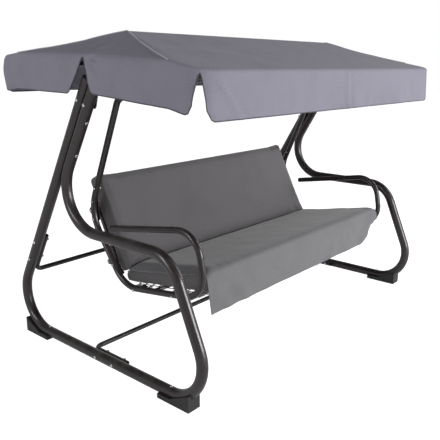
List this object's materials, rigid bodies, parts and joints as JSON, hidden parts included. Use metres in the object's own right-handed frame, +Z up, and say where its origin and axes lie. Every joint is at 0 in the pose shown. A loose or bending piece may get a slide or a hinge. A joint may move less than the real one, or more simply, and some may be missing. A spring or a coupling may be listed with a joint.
{
  "type": "glider swing",
  "caption": "Garden swing seat with a padded bench hung from a tubular steel frame under a tilting fabric canopy.",
  "frame": {"origin": "centre of the bounding box's bottom face, on the floor", "axes": "+X along the bench to the sitter's left, +Y towards the back, +Z up"},
  "size_m": [2.006, 1.339, 1.515],
  "materials": {
    "frame_paint": "semi-gloss powder coat, dark brown anthracite",
    "black_paint": "satin powder coat, near black",
    "moulded_plastic": "moulded, fine matt grain",
    "zinc_plate": "bright zinc plate",
    "cushion_cloth": "woven polyester over foam, matt",
    "skirt_cloth": "woven polyester, matt",
    "canopy_cloth": "coated woven polyester, slight sheen"
  },
  "bodies": {
    "stand": {"left_rear_tube": "frame_paint", "right_rear_tube": "frame_paint", "left_front_tube": "frame_paint", "right_front_tube": "frame_paint", "left_front_foot": "moulded_plastic", "right_front_foot": "moulded_plastic", "left_rear_foot": "moulded_plastic", "right_rear_foot": "moulded_plastic", "foot_screws": "zinc_plate", "foot_nuts": "zinc_plate", "tube_caps": "moulded_plastic", "upright_bolts": "zinc_plate", "upright_nuts": "zinc_plate", "brace_bolts": "zinc_plate", "brace_nuts": "zinc_plate", "rear_brace": "black_paint", "floor_brace": "black_paint", "top_beam": "frame_paint", "beam_bolts": "zinc_plate", "beam_nuts": "zinc_plate", "left_hanger_bracket": "frame_paint", "right_hanger_bracket": "frame_paint", "hanger_pins": "zinc_plate", "hanger_pin_nuts": "zinc_plate", "canopy_pivot_bolts": "zinc_plate", "canopy_spacers": "moulded_plastic"},
    "seat": {"left_seat_tube": "frame_paint", "right_seat_tube": "frame_paint", "left_hanger_arm": "frame_paint", "right_hanger_arm": "frame_paint", "hanger_bushes": "moulded_plastic", "armrest_caps": "moulded_plastic", "seat_front_bar": "frame_paint", "seat_rear_bar": "frame_paint", "bar_bolts": "zinc_plate", "back_frame": "frame_paint", "upper_back_brackets": "frame_paint", "lower_back_brackets": "frame_paint", "back_spacers": "moulded_plastic", "bracket_bolts": "zinc_plate", "back_frame_bolts": "zinc_plate", "arm_bolts": "zinc_plate", "seat_nuts": "zinc_plate", "seat_grid": "black_paint", "back_grid": "black_paint", "seat_springs": "zinc_plate", "seat_cushion": "cushion_cloth", "seat_skirt": "skirt_cloth", "back_cushion": "cushion_cloth"},
    "canopy": {"canopy_front_bow": "frame_paint", "canopy_rear_bow": "frame_paint", "canopy_ridge_bar": "frame_paint", "left_canopy_joint": "moulded_plastic", "right_canopy_joint": "moulded_plastic", "canopy_cover": "canopy_cloth"},
    "left_knob": {"left_canopy_knob": "moulded_plastic"},
    "right_knob": {"right_canopy_knob": "moulded_plastic"}
  },
  "joints": [
    {"name": "seat_swing", "type": "hinge", "parent": "stand", "child": "seat", "pos_m": [0, -0.056, 1.264], "axis": [1, 0, 0], "range_deg": [-20, 20]},
    {"name": "canopy_tilt", "type": "hinge", "parent": "stand", "child": "canopy", "pos_m": [0, -0.031, 1.385], "axis": [1, 0, 0], "range_deg": [-15, 18]},
    {"name": "left_knob_turn", "type": "hinge", "parent": "stand", "child": "left_knob", "pos_m": [-0.92, -0.031, 1.385], "axis": [-1, 0, 0], "range_deg": [0, 540]},
    {"name": "right_knob_turn", "type": "hinge", "parent": "stand", "child": "right_knob", "pos_m": [0.92, -0.031, 1.385], "axis": [1, 0, 0], "range_deg": [0, 540]}
  ]
}
